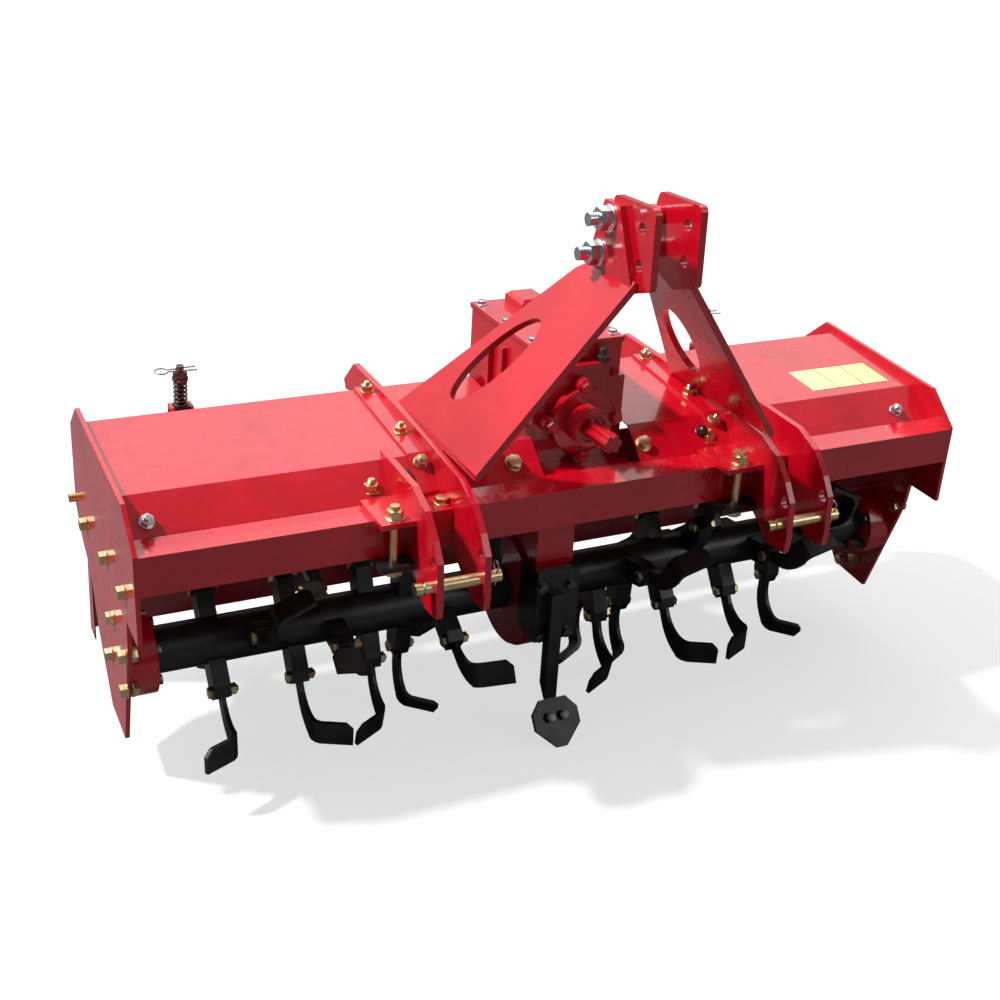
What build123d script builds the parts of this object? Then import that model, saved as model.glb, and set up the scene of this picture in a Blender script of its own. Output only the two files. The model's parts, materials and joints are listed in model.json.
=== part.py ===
"""Three-point-hitch rotary tiller, driven at its middle by a gearbox and a chain case.

Millimetres.  +X runs along the rotor to the right of someone who faces the hitch, +Y goes from the
hitch to the levelling board, +Z is up.  Everything is drawn with the rotor's axis over y = 0 and is
then moved along Y, so that the origin is on the ground under the middle of the whole machine.
One STEP file per node is written to parts/.
"""
from build123d import *
import math
import os

# ---------------------------------------------------------------- driving sizes
hood_width = 1600            # between the end plates' inner faces
end_plate = 8                # thicknesses
hitch_plate = 12
ear_plate = 12
mast_plate = 12
sheet = 2.5                  # hood and levelling board

axis_z = 235                 # rotor axis above the ground
rest_phase = 8               # the machine stands on tips at this angle on both sides of straight down
tine_radius = axis_z / math.cos(math.radians(rest_phase))    # rotor axis to the tip of a tine

beam_size = 70               # square front beam, outside
beam_wall = 11
beam_front_y = -187
beam_top_z = 518

hitch_x = 33                 # middle of the hitch
link_span = 683              # between the middles of the two lug pairs
lug_pitch = 84               # between the middles of the two plates of a pair
pin_y, pin_z = -301, 444     # lower link pins
pin_d = 22
pin_clearance = 0.3          # radial, pin in plate
spare_hole = 42              # second hole above the pin
pin_out, pin_in = 32, 24     # how far a pin stands out of its pair on each side
pin_end, pin_groove = 12, 4  # free end, and the clip's groove behind it

ear_pitch = 83               # between the middles of the two ears
ear_hole_y = -280
ear_hole_z = (943, 1003)
ear_hole_d = 20
top_bolts = ((-173, 937), (-198, 1000))   # y, z of the two long mast bolts
top_bolt_d = 22
mast_foot_z = 590
mast_head_z = 915
mast_head_y = (-284, -150)
tongue_top = ((-178, 1026), (-226, 1026))    # y, z of the tongue's upper corners
tongue_rear_z = 950

drive_x = -33                # middle of the drive case
case_width = 84
case_radius = 118
case_cover_t = 8
neck_y = (-112, 66)          # the case above its drum

gear_width = 184             # gearbox on the hitch's middle line
gear_y = (-45, 228)
gear_wall = 6
gear_z = (520, 718)
gear_foot = 14
gear_bed = 6                 # plate that carries the gearbox
opening_gaps = (10, 4, 34)   # hood opening: left, right and behind the gearbox
gear_lid, lid_out = 10, 3
input_z = 588
stub_y = -178                # free end of the input shaft
stub_d = 35
cap_y = (-98, -68)           # collar of the input cap
cap_d = 124
cap_ear_at, cap_ear_d = 66, 30
cap_collar_d = 74
front_step = 20              # the casting's front, under its ledge, stands out by this much
front_top = 660              # height of the step over the full width
ledge_width, ledge_z, ledge_out = 130, (680, 690), 5
cover_boss = ((2, 62), (140, 214), 24)    # raised part of the cover: x, y, height
rib, rib_out = 8, 9          # ribs on the casting's left side
rib_y = (20, 76, 132)

board_y, board_z = 290, 406  # board hinge axis
board_lean = 8               # degrees from upright at rest
board_drop = 306             # hinge axis to lower edge
board_gap = 6                # board to end plate
hinge_pin_d = 16

rod_x = {"left": -603, "right": 540}      # spring rods
rod_d = 14
rod_above = 92               # swivel's middle to the top of the rod
guide_y, guide_z = 322, 538  # swivel that a rod slides through
eye_y, eye_z = 347, 252      # pin that ties a rod to the board
eye_pin_d = 12
fork_gap = 30                # between the two lugs that hold an eye or a swivel
fork_plate = 6
strip_width, strip_t = 36, 5              # strips on the deck beside the inner lug plates
spring_length = 52
spring_d = 27

tube_d = 84                  # rotor tube
journal_d = 50               # shaft ends of the rotor, in the end bearings and the drive case
journal_in = 30              # length of a journal inside its bearing
bearing_length = 48
bearing_d = 145              # drum of the bearing housing inside each end plate
running = 3                  # turning part to fixed part
seat = 0.2                   # turning pin in its hole, radial
station_pitch = 72
station_start = {"left": -645, "right": 120}    # x of each half's first station
socket_out = 105             # axis to the outer end of a tine socket
socket_size = (30, 46, 30)   # along the axis, round it at the tube, round it at the outer end
blade = 8                    # thickness of a tine
shank_width, foot_width = 26, 44
shank_curve = 80             # radius of the shank's sweep backwards
shank_sweep = 55             # degrees through which it sweeps
foot_turn = 65               # degrees through which the foot turns sideways
foot_length = 58
heel = 9                     # length of each short step of the turn
foot_corner = 18             # side of the square that takes off the foot's inner corner

half = hood_width / 2
beam_back_y = beam_front_y + beam_size
beam_low_z = beam_top_z - beam_size
lug_middle = {"left": hitch_x - link_span / 2, "right": hitch_x + link_span / 2}
sides = {"left": -1, "right": 1}
parts = {}


# ---------------------------------------------------------------- helpers
def side_plate(outline, x, thickness, corner=0):
    """Plate across X; outline holds (y, z) points, x is the plate's lower face."""
    face = make_face(Polyline(*outline, close=True))
    if corner:
        face = fillet(face.vertices(), corner)
    return extrude(Plane.YZ.offset(x) * face, thickness)


def bar_x(x0, x1, y, z, diameter):
    """Round bar along X."""
    return Pos((x0 + x1) / 2, y, z) * Rot(0, 90, 0) * Cylinder(diameter / 2, x1 - x0)


def bar_y(y0, y1, x, z, diameter):
    """Round bar along Y."""
    return Pos(x, (y0 + y1) / 2, z) * Rot(90, 0, 0) * Cylinder(diameter / 2, y1 - y0)


def bar_z(z0, z1, x, y, diameter):
    """Upright round bar."""
    return Pos(x, y, (z0 + z1) / 2) * Cylinder(diameter / 2, z1 - z0)


def block(x, y, z):
    """Box between the limits (low, high) on each axis."""
    size = [b - a for a, b in (x, y, z)]
    return Pos(*[(a + b) / 2 for a, b in (x, y, z)]) * Box(*size)


def join(solids):
    """One node made of solids that don't touch."""
    return Compound(children=list(solids))


def unit(p, q):
    length = math.dist(p, q)
    return (q[0] - p[0]) / length, (q[1] - p[1]) / length


def inset(line, depth):
    """Points of a (y, z) line moved to the right of its run by depth, with mitred corners."""
    moved = []
    for i, (y, z) in enumerate(line):
        a = unit(line[i - 1], line[i]) if i else unit(line[0], line[1])
        b = unit(line[i], line[i + 1]) if i < len(line) - 1 else a
        dy, dz = a[1] + b[1], -a[0] - b[0]
        scale = depth / (dy * a[1] - dz * a[0])
        moved.append((y + dy * scale, z + dz * scale))
    return moved


# ---------------------------------------------------------------- beam and hood
deck_foot = (-125, 518)
deck_fold = (-64, 568)
deck_rear = (199, 590)
hood_knee = (290, 530)
hood_low = (284, 424)
hood_outside = [deck_foot, deck_fold, deck_rear, hood_knee, hood_low]
hood_inside = inset(hood_outside, sheet)
gear_x = (hitch_x - gear_width / 2, hitch_x + gear_width / 2)
opening_x = (gear_x[0] - opening_gaps[0], gear_x[1] + opening_gaps[1])
opening_y = gear_y[1] + opening_gaps[2]
bed_z = (gear_z[0] - gear_foot - gear_bed, gear_z[0] - gear_foot)
end_outline = [(-187, 520), (-118, 580), (235, 602), (297, 550), (306, 390), (262, 333),
               (205, 302), (158, 196), (75, 90), (-24, 82), (-88, 273), (-102, 320),
               (-107, 363), (-187, 361)]


def front_beam():
    outer = Rectangle(beam_size, beam_size)
    inner = Rectangle(beam_size - 2 * beam_wall, beam_size - 2 * beam_wall)
    tube = extrude(Plane.YZ.offset(-half) * (outer - inner), hood_width)
    return Pos(0, beam_front_y + beam_size / 2, beam_top_z - beam_size / 2) * tube


def hood_sheet(first, last):
    """Bent sheet across the hood, between two corners of its line."""
    outline = hood_outside[first:last + 1] + hood_inside[first:last + 1][::-1]
    panel = side_plate(outline, -half, hood_width)
    opening = block(opening_x, (deck_foot[0], opening_y), (beam_top_z, deck_rear[1] + 1))
    beam = block((-half, half), (beam_front_y, beam_back_y), (beam_low_z, beam_top_z))
    return panel - opening - beam


def end_plate_at(side):
    x = half if side > 0 else -half - end_plate
    plate = side_plate(end_outline, x, end_plate)
    return plate - bar_x(x - 1, x + end_plate + 1, board_y, board_z, hinge_pin_d)


def gearbox_bed():
    """Plate from the beam to the rear panel, under the gearbox."""
    (knee_y, knee_z), (low_y, low_z) = hood_inside[3:5]
    rear = knee_y + (low_y - knee_y) * (knee_z - bed_z[0]) / (knee_z - low_z)
    return block(opening_x, (beam_back_y, rear), bed_z)


# ---------------------------------------------------------------- hitch
lug_front = [(-294, 522), (-316, 490), (-321, 420), (-318, 392), (-270, 388),
             (beam_front_y, beam_low_z - 2), (beam_front_y, beam_top_z), deck_foot, deck_fold]
lug_top = [(-205, 580), (-258, 559)]
inner_rear = [deck_rear, (262, 548.5), (340, 535), (350, 552), (298, 602), (92, 600), (-66, 592)]
outer_rear = [(-60, 584)]


def deck_strip(side):
    """Strip on the hood beside the left face of an inner lug plate."""
    line = [deck_foot, deck_fold, deck_rear]
    plate_x = lug_middle[side] - sides[side] * lug_pitch / 2 - hitch_plate / 2
    strip = side_plate(inset(line, -strip_t) + line[::-1], plate_x - strip_width, strip_width)
    beam = block((plate_x - strip_width, plate_x), (beam_front_y, deck_foot[0]),
                 (beam_top_z, deck_fold[1]))
    return strip - beam


def lug_plate(x, rear):
    plate = side_plate(lug_front + rear + lug_top, x - hitch_plate / 2, hitch_plate)
    for z in (pin_z, pin_z + spare_hole):
        plate -= bar_x(x - hitch_plate, x + hitch_plate, pin_y, z, pin_d + 2 * pin_clearance)
    return plate


def lower_pin(side):
    """Link pin with a groove near its free end, pushed through both plates of a pair."""
    reach = lug_pitch / 2 + hitch_plate / 2
    x0 = lug_middle[side] - reach - pin_out
    pin = bar_x(x0, lug_middle[side] + reach + pin_in, pin_y, pin_z, pin_d)
    groove = bar_x(x0 + pin_end, x0 + pin_end + pin_groove, pin_y, pin_z, pin_d + 2)
    return pin - (groove - bar_x(x0, x0 + pin_out, pin_y, pin_z, pin_d - 5))


clamp_plate = 10
clamp_bolt_d = 16
clamp_bolt_out = 20          # beam's front face to the bolt
clamp_out = 40               # beam's front face to the clamp's edge
clamp_length = {"left": 60, "right": 78}


def clamp_x(side):
    """The clamp lies on the left of the pair's left plate."""
    end = lug_middle[side] - lug_pitch / 2 - hitch_plate / 2
    return end - clamp_length[side], end


def clamp_bolt(side):
    return bar_z(beam_low_z - 26, beam_top_z + 34, sum(clamp_x(side)) / 2,
                 beam_front_y - clamp_bolt_out, clamp_bolt_d)


def clamp_top(side):
    plate = block(clamp_x(side), (beam_front_y - clamp_out, deck_foot[0]),
                  (beam_top_z, beam_top_z + clamp_plate))
    return plate - clamp_bolt(side)


def clamp_bottom(side):
    plate = block(clamp_x(side), (beam_front_y - clamp_out, beam_back_y - 30),
                  (beam_low_z - clamp_plate, beam_low_z))
    return plate - clamp_bolt(side)


ear_outline = [(-190, 1036), (-315, 1042), (-320, 912), (-255, 890), (-150, 925)]


def ear(side):
    x = hitch_x + side * ear_pitch / 2
    plate = side_plate(ear_outline, x - ear_plate / 2, ear_plate, 12)
    for z in ear_hole_z:
        plate -= bar_x(x - ear_plate, x + ear_plate, ear_hole_y, z, ear_hole_d)
    for y, z in top_bolts:
        plate -= bar_x(x - ear_plate, x + ear_plate, y, z, top_bolt_d)
    return plate


def mast(side):
    """Slanted plate from the inner lug plate up to the ear, with an upright tongue on the ear."""
    foot_x = hitch_x + side * (link_span / 2 - lug_pitch / 2 - hitch_plate / 2)
    head_x = hitch_x + side * (ear_pitch / 2 + ear_plate / 2)
    rise = mast_head_z - mast_foot_z
    slope = math.hypot(foot_x - head_x, rise)
    # drawn flat: first along Y, then up the slope from the foot
    front, rear = mast_head_y
    face = make_face(Polyline((-240, 0), (102, 0), (-118, slope * 0.93), (rear, slope),
                              (front, slope), close=True))
    face -= Pos(-82, slope * 0.43) * Rot(0, 0, 26) * Ellipse(42, 108)
    up_slope = Vector(head_x - foot_x, 0, rise).normalized()
    plane = Plane(origin=(foot_x, 0, mast_foot_z), x_dir=(0, 1, 0),
                  z_dir=Vector(0, 1, 0).cross(up_slope))
    plate = extrude(plane * face, mast_plate / 2, both=True)
    plate &= block(sorted((foot_x, head_x)), (-400, 200), (mast_foot_z - 1, mast_head_z + 40))
    tongue_x = sorted((head_x, head_x + side * mast_plate))
    low = mast_head_z - mast_plate
    tongue = side_plate([(front, low), (rear, low), (rear, tongue_rear_z), *tongue_top],
                        tongue_x[0], mast_plate)
    for y, z in top_bolts:
        tongue -= bar_x(tongue_x[0] - 1, tongue_x[1] + 1, y, z, top_bolt_d)
    return plate + tongue


def mast_bolts():
    reach = ear_pitch / 2 + ear_plate / 2
    return join(bar_x(hitch_x - reach - 52, hitch_x + reach + 24, y, z, top_bolt_d)
                for y, z in top_bolts)


def mast_spacers():
    reach = ear_pitch / 2 - ear_plate / 2
    return join(bar_x(hitch_x - reach, hitch_x + reach, y, z, 34)
                - bar_x(hitch_x - reach - 1, hitch_x + reach + 1, y, z, top_bolt_d)
                for y, z in top_bolts)


# ---------------------------------------------------------------- gearbox and drive case
case_x = (drive_x - case_width / 2 + case_cover_t, drive_x + case_width / 2)


def narrowed(span, wall):
    return span[0] + wall, span[1] - wall


def gearbox():
    """Casting, open at the top under its cover, on a thick foot.

    Its stepped front carries the input cap; upright ribs stiffen the left side."""
    front, low = gear_y[0], bed_z[1]
    main_y = (front + front_step, gear_y[1])
    ledge_x = (hitch_x - ledge_width / 2, hitch_x + ledge_width / 2)
    casting = block(gear_x, main_y, (low, gear_z[1]))
    casting += block(gear_x, (front, main_y[0]), (low, front_top))
    casting += block(narrowed(ledge_x, ledge_out), (front, main_y[0]), (front_top, ledge_z[0]))
    casting += block(ledge_x, (front - ledge_out, main_y[0]), ledge_z)
    for y in rib_y:
        casting += block((gear_x[0] - rib_out, gear_x[0]), (y - rib / 2, y + rib / 2),
                         (gear_z[0], ledge_z[1]))
    return casting - block(narrowed(gear_x, gear_wall), narrowed(main_y, gear_wall),
                           (gear_z[0], gear_z[1] + 1))


def gearbox_cover():
    """Lid with a raised part whose upper edges are bevelled."""
    top = gear_z[1] + gear_lid
    lid_y = (gear_y[0] + front_step - lid_out, gear_y[1] + lid_out)
    boss_x, boss_y, height = cover_boss
    boss = block(boss_x, boss_y, (top, top + height))
    boss = chamfer(boss.edges().group_by(Axis.Z)[-1], height / 3)
    return block(narrowed(gear_x, -lid_out), lid_y, (gear_z[1], top)) + boss


def input_cap():
    """Bearing cap with four bolted ears and a collar round the shaft."""
    cap = bar_y(cap_y[1], gear_y[0], hitch_x, input_z, cap_d)
    for turn in range(4):
        x = hitch_x + cap_ear_at * math.cos(math.pi / 2 * turn)
        z = input_z + cap_ear_at * math.sin(math.pi / 2 * turn)
        cap += bar_y(cap_y[1], gear_y[0], x, z, cap_ear_d)
    cap += bar_y(*cap_y, hitch_x, input_z, cap_collar_d)
    return cap - bar_y(cap_y[0] - 1, gear_y[0] + 1, hitch_x, input_z, stub_d + 2 * seat)


def input_shaft():
    """Six-spline stub."""
    shaft = bar_y(stub_y, gear_y[0] - 0.5, hitch_x, input_z, stub_d)
    spline_end = cap_y[0] - 6
    for i in range(6):
        groove = Pos(0, 0, stub_d / 2) * Box(9, spline_end - stub_y, 7)
        shaft -= Pos(hitch_x, (stub_y + spline_end) / 2, input_z) * Rot(0, 60 * i, 0) * groove
    return shaft


def drive_case():
    """Drum round the rotor's middle and a flat-fronted neck up to the bed."""
    drum = bar_x(*case_x, 0, axis_z, 2 * case_radius)
    neck = block(case_x, neck_y, (axis_z, bed_z[0]))
    return drum + neck - journal_bores()


def journal_bores():
    """Holes that the rotor's journals turn in, at both ends of each half."""
    reach = journal_in + running
    bore = journal_d + 2 * seat
    ends = [x for span in rotor_span.values() for x in span]
    return join(bar_x(x - reach, x + reach, 0, axis_z, bore) for x in ends)


def case_cover():
    cover = bar_x(case_x[0] - case_cover_t, case_x[0], 0, axis_z, 2 * case_radius - 8)
    return cover - journal_bores()


bracket_x = (drive_x - 43, drive_x + 43)
bracket_z = (axis_z - 48, axis_z + 98)
bracket_y = (-142, -124)
shovel_x = drive_x - 12
shank_x = (shovel_x - 12.5, shovel_x + 12.5)


def shovel_bracket():
    """Front plate with two cheeks that grip the case's sides."""
    plate = block(bracket_x, bracket_y, bracket_z)
    for x0 in (bracket_x[0], bracket_x[1] - 1):
        plate += block((x0, x0 + 1), (bracket_y[1], -70), bracket_z)
    return plate


point_tip_y = -222
point_plane = Plane(origin=(shovel_x, point_tip_y, 0), x_dir=(1, 0, 0), z_dir=(0, -0.8, 0.6))


def shovel_shank():
    """Upright bar whose lower end turns forward behind the point."""
    back, front = bracket_y[0], bracket_y[0] - 24
    top = axis_z + 60
    on_point = [(y, (y - point_tip_y) / 0.75) for y in (front - 26, front)]
    outline = [(front, top), (back, top), (back, 98), (back - 34, 53), *on_point]
    return side_plate(outline, shank_x[0], shank_x[1] - shank_x[0])


def shovel_point():
    outline = Polyline((-27, 92), (27, 92), (47, 68), (47, 38), (10, 0), (-10, 0), (-47, 38),
                       (-47, 68), close=True)
    return extrude(point_plane * make_face(outline), 8)


def bearing_housing(side):
    """Drum bolted to the end plate's inner face."""
    drum = bar_x(*sorted((side * half, side * (half - bearing_length))), 0, axis_z, bearing_d)
    return drum - journal_bores()


# ---------------------------------------------------------------- rotor
rotor_span = {"left": (-half + bearing_length + running, case_x[0] - case_cover_t - running),
              "right": (case_x[1] + running, half - bearing_length - running)}
sweep_angle = math.radians(shank_sweep)
turn_angle = math.radians(foot_turn)


def foot_line():
    """(x, along) points of the foot's middle line; along carries on from the shank's end."""
    line = [(0, -heel), (0, 0)]
    for step, length in ((1, heel), (2, heel), (3, foot_length)):
        angle = turn_angle * step / 3
        line.append((line[-1][0] + length * math.sin(angle),
                     line[-1][1] + length * math.cos(angle)))
    return line


# the tip is the foot's outer corner: how far it lies out of and behind the curve's start, then
# the start that puts it at tine_radius, and the angle by which it trails the shank
tip_along = foot_line()[-1][1] + blade / 2 * math.sin(turn_angle)
tip_out = ((shank_curve + foot_width / 2) * math.sin(sweep_angle)
           + tip_along * math.cos(sweep_angle))
tip_back = (shank_curve - (shank_curve + foot_width / 2) * math.cos(sweep_angle)
            + tip_along * math.sin(sweep_angle))
curve_start = math.sqrt(tine_radius ** 2 - tip_back ** 2) - tip_out
tip_lag = math.degrees(math.asin(tip_back / tine_radius))
front_rest, rear_rest = rest_phase - tip_lag, -rest_phase - tip_lag   # shanks of standing tines
just_off = front_rest + 4                                             # a shank just off the ground

# one row per station, from left to right, with its two tines: the shank's phase from straight
# down towards the hitch and the side that its foot turns to, then the same for the other tine
station_rows = {
    "left": [(38, -1, 218, 1), (115, 1, 295, -1), (32, 1, 212, -1), (85, -1, 265, 1),
             (20, -1, 200, 1), (front_rest, 1, 175, -1), (60, 1, 240, -1), (140, -1, 300, -1)],
    "right": [(rear_rest, -1, 20, -1), (101, 1, front_rest, -1), (32, 1, 212, -1), (150, 1, 280, -1),
              (35, -1, 215, 1), (98, 1, 278, -1), (just_off, 1, 179, -1), (125, -1, 245, -1)]}


def stations(side):
    """(x, phase, hand) of every tine on one half."""
    rows = []
    for i, (phase, hand, other_phase, other_hand) in enumerate(station_rows[side]):
        x = station_start[side] + i * station_pitch
        rows += [(x, phase, hand), (x, other_phase, other_hand)]
    return rows


def spin(shape, x, phase):
    """Place a shape drawn pointing down from the axis at a station and a phase."""
    return Pos(x, 0, axis_z) * Rot(-phase, 0, 0) * shape


def socket():
    """Holder welded to the tube, narrower towards its open end."""
    length, wide, narrow = socket_size
    root, shoulder = tube_d / 2 - 4, socket_out - 20
    outline = [(wide / 2, -root), (wide / 2, -shoulder), (narrow / 2, -socket_out),
               (-narrow / 2, -socket_out), (-wide / 2, -shoulder), (-wide / 2, -root)]
    return side_plate(outline, -length / 2, length)


sweep_steps = 5


def on_sweep(step, across):
    """(y, z) on the shank's curve after a step, moved across the blade."""
    angle = sweep_angle * step / sweep_steps
    back = shank_curve - (shank_curve + across) * math.cos(angle)
    out = curve_start + (shank_curve + across) * math.sin(angle)
    return -back, -out


def tine(hand):
    """Flat bar that sweeps backwards and ends in a foot turned sideways towards +X or -X."""
    outer, inner = [(shank_width / 2, -socket_out)], [(-shank_width / 2, -socket_out)]
    for step in range(sweep_steps + 1):
        across = (shank_width + (foot_width - shank_width) * step / sweep_steps) / 2
        outer.append(on_sweep(step, across))
        inner.append(on_sweep(step, -across))
    shank = side_plate(outer + inner[::-1], -blade / 2, blade)
    bend = Plane(origin=(0, *on_sweep(sweep_steps, 0)), x_dir=(1, 0, 0),
                 z_dir=(0, math.cos(sweep_angle), -math.sin(sweep_angle)))
    line = foot_line()
    profile = inset(line, blade / 2) + inset(line, -blade / 2)[::-1]
    face = make_face(Polyline(*[(hand * x, along) for x, along in profile], close=True))
    foot = extrude(bend * face, foot_width / 2, both=True)
    end_x, end_along = line[-1]
    corner = (Pos(hand * end_x, end_along, -foot_width / 2) * Rot(0, 0, hand * (90 - foot_turn))
              * Rot(0, 45, 0) * Box(foot_corner, 4 * blade, foot_corner))
    return shank + foot - bend.location * corner


def rotor_tube(side):
    low, high = rotor_span[side]
    tube = bar_x(low, high, 0, axis_z, tube_d)
    tube += bar_x(low - journal_in, high + journal_in, 0, axis_z, journal_d)
    for x, phase, _ in stations(side):
        tube += spin(socket(), x, phase)
    return tube


def tines(side):
    return join(spin(tine(hand), x, phase) for x, phase, hand in stations(side))


# ---------------------------------------------------------------- levelling board and its rods
def on_board(down, out):
    """(y, z) of a point down the board from its hinge axis and out behind it."""
    lean = math.radians(board_lean)
    return (board_y + down * math.sin(lean) + out * math.cos(lean),
            board_z - down * math.cos(lean) + out * math.sin(lean))


def board_panel():
    outline = [on_board(20, 0), on_board(board_drop, 0), on_board(board_drop, sheet),
               on_board(20, sheet)]
    return side_plate(outline, -half + board_gap, hood_width - 2 * board_gap)


def board_cheeks():
    """Side flanges, each with the eye that turns on a hinge pin."""
    outline = [on_board(-14, -12), on_board(board_drop, -38), on_board(board_drop, 0),
               on_board(20, 0), on_board(10, 12), on_board(-14, 12)]
    cheeks = []
    for side in (-1, 1):
        x0, x1 = sorted((side * (half - board_gap), side * (half - board_gap - sheet)))
        eye = bar_x(x0 - 1, x1 + 1, board_y, board_z, hinge_pin_d + 2 * seat)
        cheeks.append(side_plate(outline, x0, x1 - x0) - eye)
    return join(cheeks)


def hinge_pins():
    pins = []
    for side in (-1, 1):
        x0, x1 = sorted((side * (half + end_plate + 14), side * (half - 18)))
        pins.append(bar_x(x0, x1, board_y, board_z, hinge_pin_d))
    return join(pins)


def fork(outline, y, z, x):
    """Pair of lugs on both sides of x, drilled for a pin at (y, z)."""
    lugs = []
    for side in (-1, 1):
        x0, x1 = sorted((x + side * fork_gap / 2, x + side * (fork_gap / 2 + fork_plate)))
        hole = bar_x(x0 - 1, x1 + 1, y, z, eye_pin_d)
        lugs.append(side_plate(outline, x0, x1 - x0) - hole)
    return lugs


eye_down = (board_z - eye_z) / math.cos(math.radians(board_lean))


def board_lugs():
    outline = [on_board(eye_down - 34, sheet), on_board(eye_down + 34, sheet),
               (eye_y + 14, eye_z - 12), (eye_y + 14, eye_z + 12)]
    return join(lug for x in rod_x.values() for lug in fork(outline, eye_y, eye_z, x))


def eye_pins():
    reach = fork_gap / 2 + fork_plate + 5
    return join(bar_x(x - reach, x + reach, eye_y, eye_z, eye_pin_d) for x in rod_x.values())


def guide_lugs():
    """Two lugs for each rod on the hood's rear panel, which carry its swivel."""
    outline = [(hood_knee[0] - 2.2, guide_z - 50), (guide_y + 14, guide_z - 14),
               (guide_y + 14, guide_z + 12), (guide_y - 14, guide_z + 12), (hood_knee[0], hood_knee[1])]
    forks = [lug for x in rod_x.values() for lug in fork(outline, guide_y, guide_z, x)]
    return join(forks)


rod_tilt = math.degrees(math.atan2(eye_y - guide_y, guide_z - eye_z))
rod_run = math.dist((eye_y, eye_z), (guide_y, guide_z))


def along_rod(x, low, high, diameter):
    """Round bar on the rod's line, between two heights measured from the swivel."""
    line = Pos(x, guide_y, guide_z) * Rot(rod_tilt, 0, 0)
    return line * Pos(0, 0, (low + high) / 2) * Cylinder(diameter / 2, high - low)


swivel_size = 24
spring_foot = swivel_size / 2


def swivel(x):
    """Block that turns between its lugs on two stubs; the rod slides through it."""
    core = Pos(x, guide_y, guide_z) * Rot(rod_tilt, 0, 0) * Box(
        fork_gap - 2, swivel_size, swivel_size)
    reach = fork_gap / 2 + fork_plate + 2
    stubs = bar_x(x - reach, x + reach, guide_y, guide_z, eye_pin_d - 2 * seat)
    return core + stubs - along_rod(x, -60, 60, rod_d + 2)


def spring(x):
    """Spring between the swivel and the rod's washer, as one sleeve."""
    return along_rod(x, spring_foot, spring_foot + spring_length, spring_d) - along_rod(
        x, 0, 100, rod_d + 4)


def rod(x):
    bar = along_rod(x, -rod_run + 8, rod_above, rod_d)
    reach = fork_gap / 2 - 2
    eye = bar_x(x - reach, x + reach, eye_y, eye_z, 26)
    top = spring_foot + spring_length
    washer = along_rod(x, top + 0.3, top + 4.3, 30)
    return bar + eye + washer - bar_x(x - fork_gap, x + fork_gap, eye_y, eye_z,
                                      eye_pin_d + 2 * seat)


# ---------------------------------------------------------------- the nodes
parts["front_beam"] = front_beam()
parts["deck_panel"] = hood_sheet(0, 2)
parts["rear_panel"] = hood_sheet(2, 4)
parts["gearbox_bed"] = gearbox_bed()
parts["board_panel"] = board_panel()
parts["board_cheeks"] = board_cheeks()
parts["board_lugs"] = board_lugs()
parts["board_eye_pins"] = eye_pins()
parts["board_hinge_pins"] = hinge_pins()
parts["rod_guide_lugs"] = guide_lugs()

for side, sign in sides.items():
    middle = lug_middle[side]
    parts[f"end_plate_{side}"] = end_plate_at(sign)
    parts[f"bearing_housing_{side}"] = bearing_housing(sign)
    parts[f"lug_plate_inner_{side}"] = lug_plate(middle - sign * lug_pitch / 2, inner_rear)
    parts[f"lug_plate_outer_{side}"] = lug_plate(middle + sign * lug_pitch / 2, outer_rear)
    parts[f"deck_strip_{side}"] = deck_strip(side)
    parts[f"lower_pin_{side}"] = lower_pin(side)
    parts[f"beam_clamp_top_{side}"] = clamp_top(side)
    parts[f"beam_clamp_bottom_{side}"] = clamp_bottom(side)
    parts[f"beam_clamp_bolt_{side}"] = clamp_bolt(side)
    parts[f"mast_plate_{side}"] = mast(sign)
    parts[f"top_link_ear_{side}"] = ear(sign)
    parts[f"rotor_tube_{side}"] = rotor_tube(side)
    parts[f"tines_{side}"] = tines(side)
    parts[f"spring_rod_{side}"] = rod(rod_x[side])
    parts[f"rod_swivel_{side}"] = swivel(rod_x[side])
    parts[f"rod_spring_{side}"] = spring(rod_x[side])

parts["mast_bolts"] = mast_bolts()
parts["mast_spacers"] = mast_spacers()
parts["gearbox"] = gearbox()
parts["gearbox_cover"] = gearbox_cover()
parts["input_cap"] = input_cap()
parts["input_shaft"] = input_shaft()
parts["drive_case"] = drive_case()
parts["case_cover"] = case_cover()
parts["shovel_bracket"] = shovel_bracket()
parts["shovel_shank"] = shovel_shank()
parts["shovel_point"] = shovel_point()

boxes = [shape.bounding_box() for shape in parts.values()]
middle_y = (min(b.min.Y for b in boxes) + max(b.max.Y for b in boxes)) / 2
os.makedirs("parts", exist_ok=True)
for name, shape in parts.items():
    export_step(Pos(0, -middle_y, 0) * shape, f"parts/{name}.step")
print("moved back by", middle_y)
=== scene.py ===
# %% [markdown]
# # A rotary tiller, dressed in Blender
# The tiller hangs on a tractor's three-point hitch and digs with a rotor of hooked tines.  Its plates,
# gearbox, rotor and levelling board come from the engineering model, which is loaded here and never
# changed.  Blender adds paint, plating and the many small fasteners, one cell for each.

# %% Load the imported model
import json
import math
import random

import bmesh
import bpy
from mathutils import Matrix, Vector


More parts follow.
